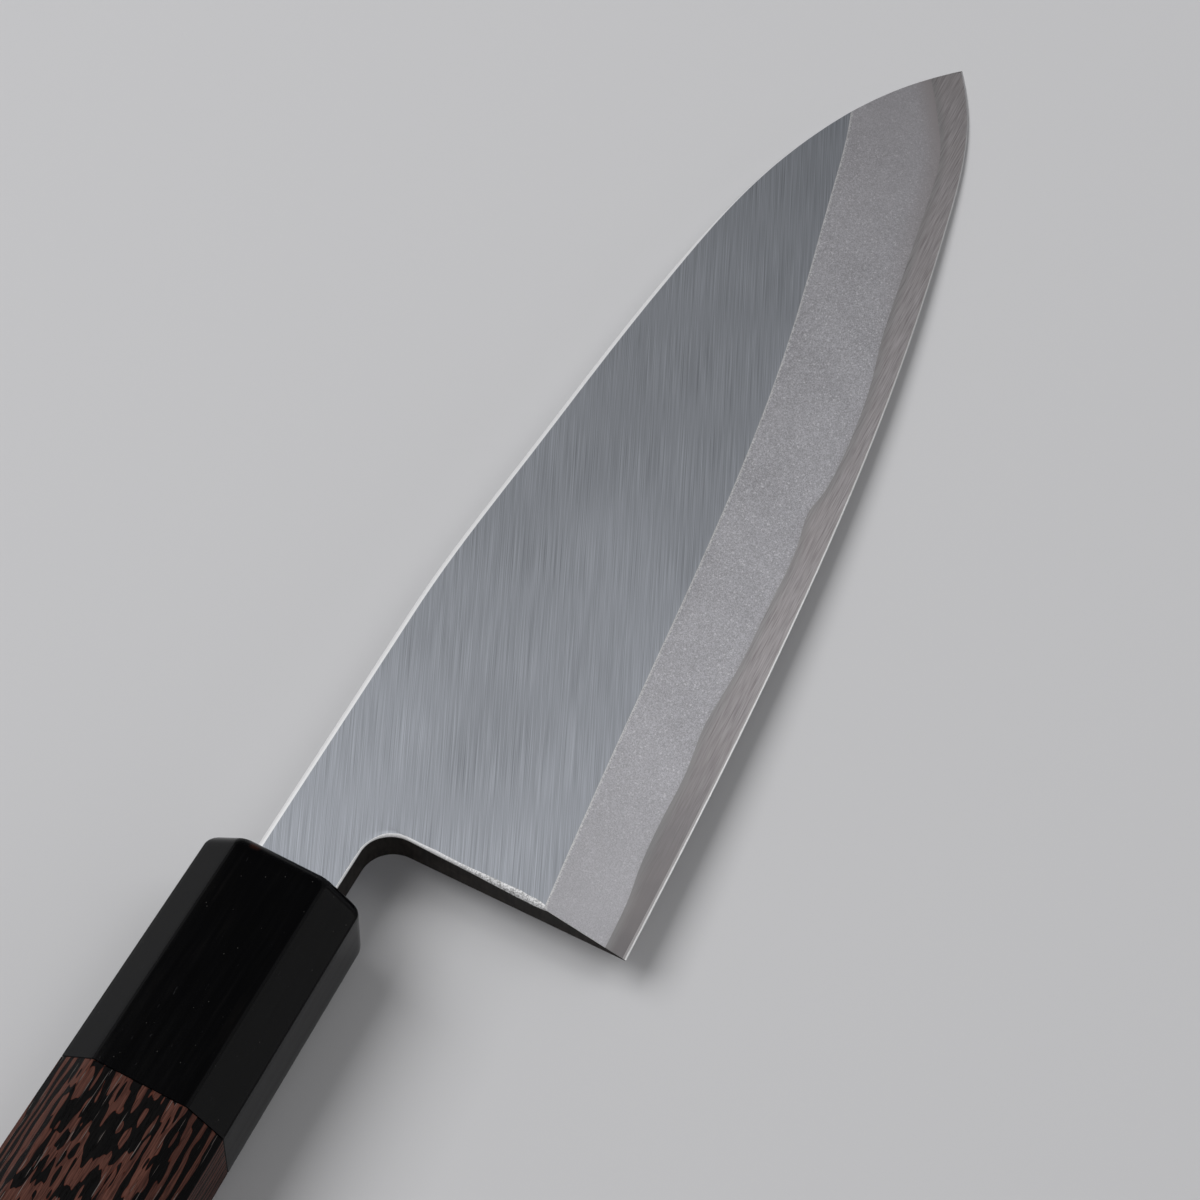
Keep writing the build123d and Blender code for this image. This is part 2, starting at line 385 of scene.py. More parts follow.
class Rulings:
    """The blade forward of the heel: points p = low + t * direction, for a row of t on each
    ruling. Front height is the lowest of fine bevel, bevel, flat face and broken spine edge."""

    def __init__(self):
        even = np.linspace(0, 1, columns)
        shares = (even + (1 - np.cos(even * pi)) / 2) / 2
        low, high = along(edge_line, shares), along(ridge_line, shares)
        reach = np.linalg.norm(high - low, axis=1)
        direction = (high - low) / reach[:, None]
        to_spine = first_crossing(low, high - low, spine_y) * reach
        top = low + direction * to_spine[:, None]
        broken = np.minimum(spine_broken_at(top[:, 0]), to_spine * spine_broken_most_share)
        to_broken = to_spine - broken
        line_share = np.interp(low[:, 0] / blade_length, lamination_line[:, 0], lamination_line[:, 1])
        fine = fine_bevel_heel + (fine_bevel_tip - fine_bevel_heel) * low[:, 0] / blade_length
        to_ridge = np.minimum(reach, to_broken)
        to_line = np.minimum(reach * line_share, to_ridge)
        to_rim = np.minimum(hollow_rim_edge, to_line)
        to_fine = np.minimum(fine, to_rim)
        notch_share = (heel_meets_fillet[1] + heel_drop - to_ridge[0]) / (to_broken[0] - to_ridge[0])
        to_notch = to_ridge + (to_broken - to_ridge) * notch_share
        to_back_rim = np.minimum(np.maximum(to_spine - hollow_rim_spine, to_notch), to_broken)
        ends = [np.zeros(columns), to_fine, to_rim, to_line, to_ridge, to_notch, to_back_rim, to_broken]
        steps = list(row_steps.values())
        stretches = [spread(ends[i], ends[i + 1], steps[i]) for i in range(len(ends) - 1)]
        rounding = np.linspace(0, quarter_turn, round_steps + 1)
        stretches.append(to_broken[:, None] + broken[:, None] * np.sin(rounding))
        self.t = np.concatenate(stretches, axis=1)
        flat = low[:, None] + direction[:, None] * self.t[..., None]
        self.along_edge = np.broadcast_to((shares * blade_length)[:, None], self.t.shape)
        self.rim = self.rim_at(flat[0, :, 1])
        flat[..., 0] += self.heel_shift(flat)
        self.flat = flat
        self.to_ridge, self.to_line = reach[:, None], to_line[:, None]
        x, y = flat[..., 0], flat[..., 1]
        bevel = (front_z(high[:, 0], high[:, 1]) - back_z - bevel_land) / reach
        fine_top = bevel_land + bevel * to_fine
        fine_slope = (fine_top - edge_land) / np.maximum(to_fine, least_bevel)
        on_bevel = back_z + bevel_land + bevel[:, None] * self.t
        on_fine = back_z + edge_land + fine_slope[:, None] * self.t
        lowered = np.zeros_like(self.t)
        lowered[:, row_at["broken"]:] = broken[:, None] * (1 - np.cos(rounding))
        self.front = np.minimum(np.minimum(on_bevel, on_fine), front_z(x, y) - lowered)
        self.hollow_middle = ((to_rim + to_spine - hollow_rim_spine) / 2)[:, None]
        hollow_half = np.maximum((to_spine - hollow_rim_spine - to_rim) / 2, least_hollow_half)
        self.hollow_half = hollow_half[:, None]

    def rim_at(self, y):
        """The broken edge's width on the heel's line; above the notch it closes to nothing."""
        level = heel_meets_fillet[1]
        closing = np.clip((spine_rise - y) / (spine_rise - level), 0, 1)
        return rim_width(np.minimum(y, level), np.minimum(y, level) + heel_drop) * closing

    def heel_shift(self, flat):
        """Moves the first rulings onto the heel's slanted line, less and less along the blade."""
        x, y = flat[..., 0], flat[..., 1]
        rim = np.interp(y, y[0], self.rim)
        return (heel_x(y) + rim) * np.clip(1 - x / heel_shift_reach, 0, 1)

    def heel(self):
        """Points of the heel's own line, level with the rows of the first ruling."""
        y = self.flat[0, :row_at["notch"] + 1, 1]
        return np.stack([heel_x(y), y], -1)

    def joint(self):
        """Height of the joint between the steels, which rises to the front where it shows."""
        level = steel_top_z(self.flat[..., 0])
        shows = row_at["line"]
        rise = self.front[:, shows:shows + 1] - level
        height = level + rise * np.exp(-np.maximum(self.t - self.to_line, 0) / interface_fade)
        return np.minimum(height, self.front)

    def back(self):
        """Height of the back: flat rims and, between them, a shallow hollow whose depth falls
        as one less the square of the share of its half width."""
        x = self.flat[..., 0]
        table = np.array(hollow_shares)
        widths, depths = smooth_line(table[:, :2]), smooth_line(table[:, ::2])
        width = np.interp(x / blade_length, widths[:, 0], widths[:, 1])
        depth = np.interp(x / blade_length, depths[:, 0], depths[:, 1]) * hollow_depth
        off_middle = (self.t - self.hollow_middle) / (self.hollow_half * width)
        return back_z + depth * np.maximum(1 - off_middle**2, 0)


def with_height(flat, height):
    """Points in the blade's plane, given a height."""
    return np.concatenate([flat, np.broadcast_to(height, flat.shape[:-1])[..., None]], -1)


class Neck:
    """The blade behind the heel: straight rulings from the notch's path up to the spine.
    The first row is the path itself and the second lies a broken edge's width inside it."""

    def __init__(self):
        turns = np.linspace(heel_off_square, quarter_turn, notch_columns + 1)
        cut = np.arccos((-steel_end - fillet_centre[0]) / notch_radius)
        turns = np.sort(np.append(turns, cut))
        self.steel_columns = int(np.searchsorted(turns, cut)) + 1
        arc = np.stack([np.cos(turns), np.sin(turns)], -1) * notch_radius + fillet_centre
        straight_x = np.linspace(fillet_centre[0], tang_root_x, neck_columns + 1)[1:]
        straight = np.stack([straight_x, np.full(neck_columns, -neck_drop)], -1)
        path = np.concatenate([arc, straight])
        leaning = (turns - heel_off_square) / (quarter_turn - heel_off_square) * quarter_turn
        leaning = np.concatenate([leaning, np.full(neck_columns, quarter_turn)])
        inward = np.stack([np.cos(leaning), np.sin(leaning)], -1)
        width = rim_width(path[:, 1], length_along(path) + heel_meets_fillet[1] + heel_drop)
        inner = path + inward * width[:, None]
        top_heel = heel_x(spine_rise)
        above_x = (tang_root_x, fillet_centre[0], -steel_end, heel_meets_fillet[0])
        top_x = np.interp(path[:, 0], above_x, (*above_x[:3], top_heel))
        start_y = inner[:, 1]
        level = np.ones(len(path))
        back_rim_y, broken_y = level * (spine_rise - hollow_rim_spine), level * (spine_rise - spine_broken)
        rounding = np.linspace(0, quarter_turn, round_steps + 1)
        y = np.concatenate([
            spread(start_y, back_rim_y, row_steps["back_rim"]),
            spread(back_rim_y, broken_y, row_steps["broken"]),
            level[:, None] * (spine_rise - spine_broken + spine_broken * np.sin(rounding)),
        ], axis=1)
        share = (y - start_y[:, None]) / (spine_rise - start_y[:, None])
        x = inner[:, :1] + (top_x[:, None] - inner[:, :1]) * share
        self.flat = np.stack([x, y], -1)
        self.path, self.inner, self.width = path, inner, width
        lowered = np.zeros_like(y)
        lowered[:, -round_steps - 1:] = spine_broken * (1 - np.cos(rounding))
        self.front = front_z(x, y) - lowered


rulings = Rulings()
neck = Neck()


# Sheets welded into pieces

weld_distance = 2e-7


def grid_faces(rows, places, first=0):
    """Corners of the faces of a grid whose points are numbered from the first on."""
    index = np.arange(rows * places).reshape(rows, places) + first
    return np.stack([index[:-1, :-1], index[1:, :-1], index[1:, 1:], index[:-1, 1:]], -1).reshape(-1, 4)


def in_scene(name, thing):
    """A mesh, a lamp or a camera, put into the scene."""
    placed = bpy.data.objects.new(name, thing)
    bpy.context.scene.collection.objects.link(placed)
    return placed


def shade_smooth(mesh):
    """All faces of a mesh shaded as one smooth surface."""
    mesh.polygons.foreach_set("use_smooth", np.ones(len(mesh.polygons), bool))


class Shell:
    """The sheets of one piece. Each is a grid of points; its "brush" map runs along and across
    the marks left by grinding and its "lines" map holds distances, both in millimetres."""

    def __init__(self):
        self.points, self.faces, self.finishes, self.brush, self.lines = [], [], [], [], []
        self.count = 0

    def add(self, sheet, finish, brush=None, lines=None):
        """One sheet; without maps, its brush runs along x and its lines are at no distance."""
        rows, places = sheet.shape[:2]
        faces = grid_faces(rows, places, self.count)
        self.count += rows * places
        self.points.append(sheet.reshape(-1, 3))
        self.faces.append(faces)
        self.finishes.append(np.full(len(faces), finish))
        self.brush.append((sheet[..., :2] if brush is None else brush).reshape(-1, 2))
        self.lines.append(np.zeros((rows * places, 2)) if lines is None else lines.reshape(-1, 2))

    def add_band(self, band, sheet, finish, brush, lines):
        """A band of a sheet's rows, with the same band of its maps."""
        self.add(sheet[:, band], finish, brush[:, band], lines[:, band])

    def add_walls(self, walls, finish, lengthwise=False):
        """Walls down through rows of points, brushed along the rows or lengthwise."""
        for rows in walls:
            sheet, marks = between(*rows)
            self.add(sheet, finish, sheet[..., ::2] if lengthwise else marks, marks)

    def weld(self, name, finishes, crease):
        """One closed mesh: the sheets joined where their borders meet, and what small gaps are
        left at corners filled. Edges that turn by more than the crease stay sharp."""
        mesh = bpy.data.meshes.new(name)
        faces = np.concatenate(self.faces)
        mesh.from_pydata(on_table(np.concatenate(self.points)).tolist(), [], faces.tolist())
        mesh.polygons.foreach_set("material_index", np.concatenate(self.finishes))
        for label, values in (("brush", self.brush), ("lines", self.lines)):
            layer = mesh.uv_layers.new(name=label)
            layer.data.foreach_set("uv", np.concatenate(values)[faces.ravel()].ravel())
        work = bmesh.new()
        work.from_mesh(mesh)
        bmesh.ops.remove_doubles(work, verts=work.verts, dist=weld_distance)
        bmesh.ops.dissolve_degenerate(work, edges=work.edges, dist=weld_distance)
        bmesh.ops.holes_fill(work, edges=[edge for edge in work.edges if edge.is_boundary], sides=0)
        bmesh.ops.recalc_face_normals(work, faces=work.faces)
        work.to_mesh(mesh)
        work.free()
        shade_smooth(mesh)
        mesh.set_sharp_from_angle(angle=crease)
        for finish in finishes:
            mesh.materials.append(finish)
        return in_scene(name, mesh)


def pair(first, second, shape):
    """Two values side by side over a sheet, as a map."""
    return np.stack([np.broadcast_to(first, shape), np.broadcast_to(second, shape)], -1)


def turned(flat, angle):
    """Distances along and across a direction in the blade's plane."""
    x, y = flat[..., 0], flat[..., 1]
    return np.stack([x * cos(angle) + y * sin(angle), y * cos(angle) - x * sin(angle)], -1)


def between(*rows):
    """A wall down through rows of points. Its map holds length and depth below the top."""
    sheet = np.stack(rows)
    depth = sheet[0, :, 2] - sheet[..., 2]
    return sheet, pair(length_along(sheet[0, :, :2]), depth, depth.shape)


def at_height(points, height):
    """The same points at another height."""
    return with_height(points[..., :2], height)


def rounded_rim(outer, inner, width, height):
    """Broken edge between two lines: in share sin(a) of the way out it lies 1 - cos(a) of its
    depth lower, for a from 0 to a quarter turn."""
    turn = np.linspace(0, quarter_turn, round_steps + 1)
    flat = inner[:, None] + (outer - inner)[:, None] * np.sin(turn)[:, None]
    depth = np.minimum(width * rim_depth_share, (height - back_z) / 2)
    return with_height(flat, height[:, None] - depth[:, None] * (1 - np.cos(turn)))


brush_angle = radians(25.2)
stoning_angle = radians(3)
line, ridge, notch, broken = (row_at[name] for name in ("line", "ridge", "notch", "broken"))
front = with_height(rulings.flat, rulings.front)
joint = with_height(rulings.flat, rulings.joint())
back = with_height(rulings.flat, rulings.back())
neck_front = with_height(neck.flat, neck.front)
neck_joint = with_height(neck.flat, steel_top_z(neck.flat[..., 0]))
neck_back = with_height(neck.flat, back_z)
heel_outer = rulings.heel()
heel_rows = slice(0, notch + 1)
heel_inner, heel_front = rulings.flat[0, heel_rows], rulings.front[0, heel_rows]
heel_rim = rounded_rim(heel_outer, heel_inner, rulings.rim[heel_rows], heel_front)
neck_rim = rounded_rim(neck.path, neck.inner, neck.width, neck.front[:, 0])
heel_joint = with_height(heel_outer, np.minimum(joint[0, heel_rows, 2], heel_rim[:, -1, 2]))
heel_back = with_height(heel_outer, back_z)
path_joint = with_height(neck.path, steel_top_z(neck.path[:, 0]))
path_back = with_height(neck.path, back_z)
steel_part = slice(0, neck.steel_columns)
soft_part = slice(neck.steel_columns - 1, None)


def joint_sheets(shell, finish):
    """The joint between the steels, over the blade and back to where the hard steel ends."""
    shell.add(np.concatenate([heel_joint[None, line:], joint[:, line:notch + 1]]), finish)
    shell.add(joint[:, notch:], finish)
    neck_part = np.concatenate([path_joint[:, None], neck_joint], axis=1)[steel_part]
    shell.add(neck_part, finish)
    shell.add(between(neck_part[-1], at_height(neck_part[-1], back_z))[0], finish)


def tang_sheet():
    """The tang as square loops: neck root, waist and blunt end."""
    root_top = front_z(tang_root_x, -neck_drop) - tang_shoulder
    root = (tang_root_x + tang_shoulder, -neck_drop + tang_shoulder, spine_rise - tang_shoulder,
            back_z + tang_shoulder, root_top)
    waist_y, waist_z = tang_waist_width / 2, tang_waist_thickness / 2
    end_y, end_z = tang_end_width / 2, tang_end_thickness / 2
    waist = (tang_root_x - tang_waist_depth, -waist_y, waist_y, -waist_z, waist_z)
    end = (tang_end_x, -end_y, end_y, -end_z, end_z)
    loops = []
    for x, low_y, high_y, low_z, high_z in (root, waist, end):
        corners = ((low_y, low_z), (high_y, low_z), (high_y, high_z), (low_y, high_z), (low_y, low_z))
        loops.append([(x, y, z) for y, z in corners])
    return np.array(loops)


def blade_maps(first_line):
    """Maps of the blade's sheets: place along the edge and up the ruling, and distance from the
    first line and from the line between the steels."""
    shape = rulings.t.shape
    from_lines = pair(rulings.t - first_line, rulings.t - rulings.to_line, shape)
    return pair(rulings.along_edge, rulings.t, shape), from_lines


def cladding_piece(finishes):
    """Soft steel: the flat face, the upper bevel, the broken edges, the walls and the tang. Each
    sheet's height over the blade's plane is the lowest of bevel, flat and broken edge."""
    stoned, brushed, filed_and_highlight, softened_and_highlight, wall, spine, hidden = range(len(finishes))
    shell = Shell()
    edgewise, from_lines = blade_maps(rulings.to_ridge)
    shell.add_band(slice(line, ridge + 1), front, stoned, edgewise, from_lines)
    shell.add_band(slice(ridge, broken + 1), front, brushed, turned(rulings.flat, brush_angle), from_lines)
    shell.add(front[:, broken:], softened_and_highlight)
    far = pair(blade_height, blade_height, neck.front.shape)
    shell.add_band(slice(0, -round_steps), neck_front, brushed, turned(neck.flat, brush_angle), far)
    shell.add(neck_front[:, -round_steps - 1:], softened_and_highlight)
    shell.add(heel_rim[line:ridge + 1], stoned)
    shell.add(heel_rim[ridge:], filed_and_highlight)
    shell.add(neck_rim, filed_and_highlight)
    shell.add_walls((
        (heel_rim[line:, -1], heel_joint[line:]),
        (neck_rim[steel_part, -1], path_joint[steel_part]),
        (neck_rim[soft_part, -1], path_joint[soft_part], path_back[soft_part]),
    ), wall)
    shell.add_walls((
        (front[:, -1], joint[:, -1]),
        (neck_front[steel_part, -1], neck_joint[steel_part, -1]),
        (neck_front[soft_part, -1], neck_joint[soft_part, -1], neck_back[soft_part, -1]),
    ), spine, lengthwise=True)
    joint_sheets(shell, hidden)
    under_neck = np.concatenate([path_back[:, None], neck_back], axis=1)[soft_part]
    far = pair(blade_height, blade_height, under_neck.shape[:2])
    shell.add(under_neck, brushed, turned(under_neck, brush_angle), far)
    shell.add(tang_sheet(), hidden)
    return shell


def steel_piece(finishes):
    """Hard steel: the strip that shows on the bevel, the very edge and the hollowed back, whose
    depth falls as one less the square of the share of its half width."""
    strip, fine, wall, hollow, side, hidden = range(len(finishes))
    shell = Shell()
    edgewise, from_lines = blade_maps(0)
    ground = row_at["fine"]
    shell.add_band(slice(0, ground + 1), front, fine, edgewise, from_lines)
    shell.add_band(slice(ground, line + 1), front, strip, turned(rulings.flat, stoning_angle), from_lines)
    shell.add(between(front[:, 0], back[:, 0])[0], fine, edgewise[:, :2].swapaxes(0, 1))
    shell.add(heel_rim[:line + 1], strip)
    shell.add_walls((
        (heel_rim[:line + 1, -1], heel_back[:line + 1]),
        (heel_joint[line:], heel_back[line:]),
        (path_joint[steel_part], path_back[steel_part]),
    ), wall)
    shell.add_walls((
        (joint[:, -1], back[:, -1]),
        (neck_joint[steel_part, -1], neck_back[steel_part, -1]),
    ), side, lengthwise=True)
    joint_sheets(shell, hidden)
    depth = pair(back[..., 2] - back_z, rulings.t, rulings.t.shape)
    heelwise = np.concatenate([heel_back[None, :, :2], edgewise[:, heel_rows]])
    heel_depth = np.concatenate([np.zeros_like(depth[:1, heel_rows]), depth[:, heel_rows]])
    shell.add(np.concatenate([heel_back[None], back[:, heel_rows]]), hollow, heelwise, heel_depth)
    shell.add_band(slice(notch, None), back, hollow, edgewise, depth)
    shell.add(np.concatenate([path_back[:, None], neck_back], axis=1)[steel_part], hollow)
    return shell


# Handle

ridge_steps = 5
flat_steps = 6
nose_steps = 10
nose_length = 3.0
nose_ridge_round = 2.6
slot_rows = 3


def section_corners(x, inset):
    """Corners of the octagon at x, drawn in by the inset."""
    growth = handle_growth(x)
    half_width, half_thickness = front_width / 2 * growth, front_thickness / 2 * growth
    wide, thick = half_width - inset, half_thickness - inset
    broad, narrow = wide * broad_flat_share, thick * narrow_flat_share
    half = [(broad, thick), (wide, narrow), (wide, -narrow), (broad, -thick)]
    return np.array(half + [(-y, -z) for y, z in half])


def octagon_loop(x, inset=0.0, radius=ridge_round):
    """Section of the handle: each corner is an arc that touches both flats, with its centre a
    radius / sin(half angle) inside the corner; with each point's distance from a ridge."""
    corners = section_corners(x, inset)
    backward, forward = np.roll(corners, 1, 0) - corners, np.roll(corners, -1, 0) - corners
    backward /= np.linalg.norm(backward, axis=1)[:, None]
    forward /= np.linalg.norm(forward, axis=1)[:, None]
    half = np.arccos((backward * forward).sum(1)) / 2
    bisector = (backward + forward) / np.linalg.norm(backward + forward, axis=1)[:, None]
    centre = corners + bisector * (radius / np.sin(half))[:, None]
    setback = (radius / np.tan(half))[:, None]
    start, stop = corners + backward * setback, corners + forward * setback
    turn = (pi - 2 * half)[:, None, None]
    share = np.linspace(0, 1, ridge_steps + 1)[:, None]
    from_start = np.sin((1 - share) * turn) * (start - centre)[:, None]
    from_stop = np.sin(share * turn) * (stop - centre)[:, None]
    arcs = centre[:, None] + (from_start + from_stop) / np.sin(turn)
    share = np.arange(1, flat_steps)[:, None] / flat_steps
    following = np.roll(start, -1, 0)
    flats = stop[:, None] + (following - stop)[:, None] * share
    flat_length = np.linalg.norm(following - stop, axis=1)[:, None]
    away = flat_length * np.minimum(share, 1 - share)[:, 0]
    loop = np.concatenate([arcs, flats], axis=1).reshape(-1, 2)
    ridge_distance = np.concatenate([np.zeros((len(corners), ridge_steps + 1)), away], axis=1).ravel()
    loop, ridge_distance = np.append(loop, loop[:1], 0), np.append(ridge_distance, ridge_distance[:1])
    return np.insert(loop, 0, x, axis=1), ridge_distance


def ring(x, angles, radius):
    """Circle round the handle's axis."""
    return np.stack([np.full(len(angles), x), np.cos(angles) * radius, np.sin(angles) * radius], -1)


def slot_loop(x, loop):
    """The slot's outline, each point where the ray to a point of the outer loop leaves it."""
    thickness = front_z(tang_root_x, spine_rise) - back_z
    centre = np.array([(spine_rise - neck_drop) / 2, back_z + thickness / 2])
    half = np.array([(spine_rise + neck_drop) / 2 + bedding_gap, thickness / 2 + bedding_gap])
    rays = loop[:, 1:] - centre
    outline = rays / np.abs(rays / half).max(1)[:, None]
    for sign_y, sign_z in ((1, 1), (1, -1), (-1, 1), (-1, -1)):
        corner = half * (sign_y, sign_z)
        outline[np.linalg.norm(outline - corner, axis=1).argmin()] = corner
    outline[-1] = outline[0]
    return np.insert(outline + centre, 0, x, axis=1)


def at_x(loop, x):
    """The same loop at another place along the handle."""
    moved = loop.copy()
    moved[:, 0] = x
    return moved


def handle_shell(before, stations, after):
    """One sheet over loops without ridges, octagons at the stations and loops without ridges
    again. Its maps hold the place along the handle and the distance from the nearest ridge."""
    octagons = [octagon_loop(*station) for station in stations]
    loops = [*before, *(loop for loop, _ in octagons), *after]
    far = np.full(len(loops[0]), front_width)
    distances = [far] * len(before) + [away for _, away in octagons] + [far] * len(after)
    maps = np.stack([np.stack([loop[:, 0] for loop in loops]), np.stack(distances)], -1)
    shell = Shell()
    shell.add(np.stack(loops), 0, maps, maps)
    return shell


def ferrule_piece():
    """Horn sleeve: octagons, a nose drawn in along a quarter circle, the slot and the bore."""
    stations = [(joint_x, seam_round), (joint_x + seam_round, 0)]
    stations += [(mouth_x - nose_length, 0), (mouth_x - ferrule_round, 0)]
    for turn in np.linspace(0, quarter_turn, nose_steps + 1)[1:]:
        x, inset = mouth_x - ferrule_round * (1 - sin(turn)), ferrule_round * (1 - cos(turn))
        stations.append((x, inset, ridge_round + (nose_ridge_round - ridge_round) * sin(turn)))
    rim, start = octagon_loop(*stations[-1])[0], octagon_loop(*stations[0])[0]
    slot = slot_loop(mouth_x, rim)
    face = [rim + (slot - rim) * step / slot_rows for step in range(1, slot_rows + 1)]
    socket_x, bore_x, radius = tang_root_x - bedding_gap, joint_x + dowel_in_ferrule, dowel_diameter / 2
    angles = np.arctan2(rim[:, 2], rim[:, 1])
    bore = [at_x(slot, socket_x), at_x(slot, bore_x)]
    bore += [ring(x, angles, radius) for x in (bore_x, joint_x)]
    return handle_shell([], stations, [*face, *bore, start])


def body_piece():
    """Wooden body: octagons with broken edges at the butt, a closed butt and the bore."""
    stations = [(butt_x, butt_chamfer), (butt_x + butt_chamfer, 0)]
    stations += [(joint_x - seam_round, 0), (joint_x, seam_round)]
    start, radius = octagon_loop(*stations[0])[0], dowel_diameter / 2
    angles = np.arctan2(start[:, 2], start[:, 1])
    butt = [ring(butt_x, angles, 0), ring(butt_x, angles, radius)]
    bore = [ring(joint_x, angles, radius), ring(dowel_end_x, angles, radius), ring(dowel_end_x, angles, 0)]
    return handle_shell(butt, stations, bore)


# Finishes

# Depth of each finish's relief
relief_depths = {
    "brushed_soft_steel": 0.0009, "stoned_soft_steel": 0.002, "stoned_hard_steel": 0.0012,
    "honed_edge": 0.001, "filed_rim_and_highlight": 0.028, "eased_spine_and_highlight": 0.006, "forged_and_shaded_wall": 0.02,
    "spine_steel": 0.0015, "hollow_back": 0.0012, "black_horn": 0.004, "striped_wood": 0.06,
    "dowel_wood": 0.05, "bedding_resin": 0.05,
}
# Most of a cloudy pattern lies between these two values
pattern_low = 0.3
pattern_high = 0.7
marks_turn = 0.25
full_tone = 255
# The curve by which screens store tones: a straight foot, and above it a power
foot_end = 0.04045
foot_slope = 12.92
curve_offset = 0.055
curve_power = 2.4


def linear(value):
    """Share of light that a stored tone between 0 and 1 stands for."""
    if value <= foot_end:
        return value / foot_slope
    return ((value + curve_offset) / (1 + curve_offset)) ** curve_power


def tone(*colour):
    """Colour of a tone read off as 0 to 255."""
    return (*(linear(value / full_tone) for value in colour), 1.0)


def metal(red, green, blue):
    """Colour of bare metal, given as shares of the light that it reflects."""
    return (red, green, blue, 1.0)


class Pattern:
    """What a node of a finish gives out. Each operation on it adds a node."""

    def __init__(self, finish, output):
        self.finish, self.output = finish, output

    def math(self, operation, other=0):
        """It and another value, as one."""
        return self.finish.node("Math", {0: self, 1: other}, operation=operation)

    def __add__(self, other):
        return self.math("ADD", other)

    def __mul__(self, other):
        return self.math("MULTIPLY", other)

    def stretch(self, low, high, to_low=0, to_high=1, kind="LINEAR"):
        """Its range low to high, carried to another range and held there."""
        inputs = {"Value": self, "From Min": low, "From Max": high, "To Min": to_low, "To Max": to_high}
        return self.finish.node("MapRange", inputs, clamp=True, interpolation_type=kind)

    def fade(self, low, high, to_low=0, to_high=1):
        """The same along a smooth step."""
        return self.stretch(low, high, to_low, to_high, "SMOOTHSTEP")

    def even(self, to_low=0, to_high=1):
        """A cloudy pattern that fills its range."""
        return self.stretch(pattern_low, pattern_high, to_low, to_high)


class Finish:
    """A material in the making."""

    def __init__(self, name, **uniform):
        self.name = name
        self.brushed = "Anisotropic" in uniform
        self.material = bpy.data.materials.new(name)
        self.material.use_nodes = True
        self.tree = self.material.node_tree
        self.shader = self.tree.nodes["Principled BSDF"]
        for socket, value in uniform.items():
            self.shade(socket.replace("_", " "), value)

    def node(self, kind, inputs, output=0, **settings):
        """A node with its settings, and with each input joined to a pattern or set to a value."""
        made = self.tree.nodes.new("ShaderNode" + kind)
        for key, value in settings.items():
            setattr(made, key, value)
        for key, value in inputs.items():
            self.feed(made.inputs[key], value)
        return Pattern(self, made.outputs[output])

    def feed(self, socket, value):
        """Joins a pattern to a socket, or sets the socket to a plain value."""
        if isinstance(value, Pattern):
            self.tree.links.new(value.output, socket)
        else:
            socket.default_value = value

    def shade(self, socket, value):
        """Feeds an input of the material's own shader."""
        self.feed(self.shader.inputs[socket], value)

    def place(self, size, location=(0, 0, 0), rotation=(0, 0, 0)):
        """Object coordinates in units of a grain size, given in millimetres along each axis."""
        scale = [side * millimetre for side in size]
        inputs = {"Location": location, "Rotation": rotation, "Scale": scale}
        inputs["Vector"] = self.node("TexCoord", {}, "Object")
        return self.node("Mapping", inputs, vector_type="TEXTURE")

    def knife_place(self, size=(1, 1, 1)):
        """The knife's own coordinates in units of a grain size."""
        return self.place(size, tuple(lying_place), (0, lean, 0))

    def knife_axis(self, axis, size=1):
        """One of the knife's own coordinates, in units of a size."""
        return self.node("SeparateXYZ", {"Vector": self.knife_place((size,) * 3)}, axis)

    def distance(self, label, axis):
        """One distance of a map, in millimetres."""
        return self.node("SeparateXYZ", {"Vector": self.node("UVMap", {}, uv_map=label)}, axis)

    def noise(self, vector, detail, roughness):
        """Cloudy pattern with a grain of one unit."""
        inputs = {"Vector": vector, "Scale": 1, "Detail": detail, "Roughness": roughness}
        return self.node("TexNoise", inputs)

    def hairs(self, size, detail=2, roughness=0.5):
        """Cloudy pattern drawn out along the marks left by grinding."""
        inputs = {"Vector": self.node("UVMap", {}, uv_map="brush"), "Scale": (*size, 1)}
        return self.noise(self.node("Mapping", inputs, vector_type="TEXTURE"), detail, roughness)

    def clouds(self, size, detail=2, roughness=0.5):
        """Cloudy pattern of the given grain size."""
        return self.noise(self.place(size), detail, roughness)

    def fibres(self, size, detail=2, roughness=0.5):
        """Cloudy pattern drawn out along the knife's own axes."""
        return self.noise(self.knife_place(size), detail, roughness)

    def cells(self, vector, output="Distance"):
        """Distance from the middle of the nearest of many scattered grains."""
        return self.node("TexVoronoi", {"Vector": vector, "Scale": 1}, output)

    def grit(self, vector):
        """Grains that each have their own value between 0 and 1."""
        return self.node("SeparateColor", {"Color": self.cells(vector, "Color")})

    def mix(self, share, first, second):
        """Colours mixed by a share."""
        return self.node("Mix", {0: share, 6: first, 7: second}, 2, data_type="RGBA")

    def colour(self, share, first, second):
        """The ground colour, mixed from two by a share."""
        self.base = self.mix(share, first, second)

    def lay(self, share, colour):
        """A colour laid over what is there, by a share."""
        self.base = self.mix(share, self.base, colour)

    def done(self, bumps, roughness):
        """The finished material, with relief of its own depth. The gloss of brushed steel is
        drawn out across the marks, which run along the first distance of their map."""
        depth = relief_depths[self.name] * millimetre
        self.shade("Base Color", self.base)
        self.shade("Roughness", roughness)
        self.shade("Normal", self.node("Bump", {"Height": bumps, "Distance": depth, "Strength": 1}))
        if self.brushed:
            self.shade("Anisotropic Rotation", marks_turn)
            self.shade("Tangent", self.node("Tangent", {}, direction_type="UV_MAP", uv_map="brush"))
        return self.material


